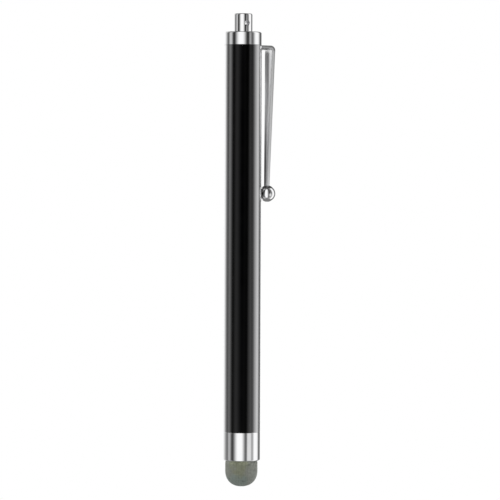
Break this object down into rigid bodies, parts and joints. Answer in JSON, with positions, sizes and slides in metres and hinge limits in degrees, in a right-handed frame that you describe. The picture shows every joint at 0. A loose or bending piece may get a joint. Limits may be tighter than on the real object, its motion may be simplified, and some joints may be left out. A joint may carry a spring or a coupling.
{
  "type": "stylus pen",
  "caption": "Slim metal stylus for touchscreens, with a knitted press-in tip, a sprung pocket clip ending in a ball, and a lanyard hole across its cap.",
  "frame": {"origin": "lowest point of the knitted tip, where it touches a screen, on the pen's own axis", "axes": "+Z along the pen from the tip to the cap, +X towards the clip, +Y along the lanyard hole"},
  "size_m": [0.0131, 0.009, 0.113],
  "materials": {
    "black_paint": "gloss black coating on the aluminium tube",
    "chrome": "polished chrome plate",
    "brass": "plain turned brass",
    "steel": "bright turned steel",
    "silicone": "matte conductive silicone",
    "knit": "fine grey-green conductive knit"
  },
  "bodies": {
    "barrel": {"barrel_tube": "black_paint", "top_cap": "chrome", "cap_bush": "brass", "clip_root": "chrome", "nose_ring": "chrome", "tip_stem": "brass", "stem_nut": "steel", "tip_core": "silicone"},
    "clip": {"clip_arm": "chrome", "clip_ball": "chrome"},
    "tip": {"tip_sock": "knit", "sock_band": "steel"}
  },
  "joints": [
    {"name": "clip_flex", "type": "hinge", "parent": "barrel", "child": "clip", "pos_m": [0.0065, 0, 0.10435], "axis": [0, -1, 0], "range_deg": [0, 5], "stiffness_Nm_per_rad": 1.3},
    {"name": "tip_press", "type": "slide", "parent": "barrel", "child": "tip", "axis": [0, 0, 1], "range_m": [0, 0.0007], "stiffness_N_per_m": 1500, "deforming": ["tip_core"]}
  ]
}
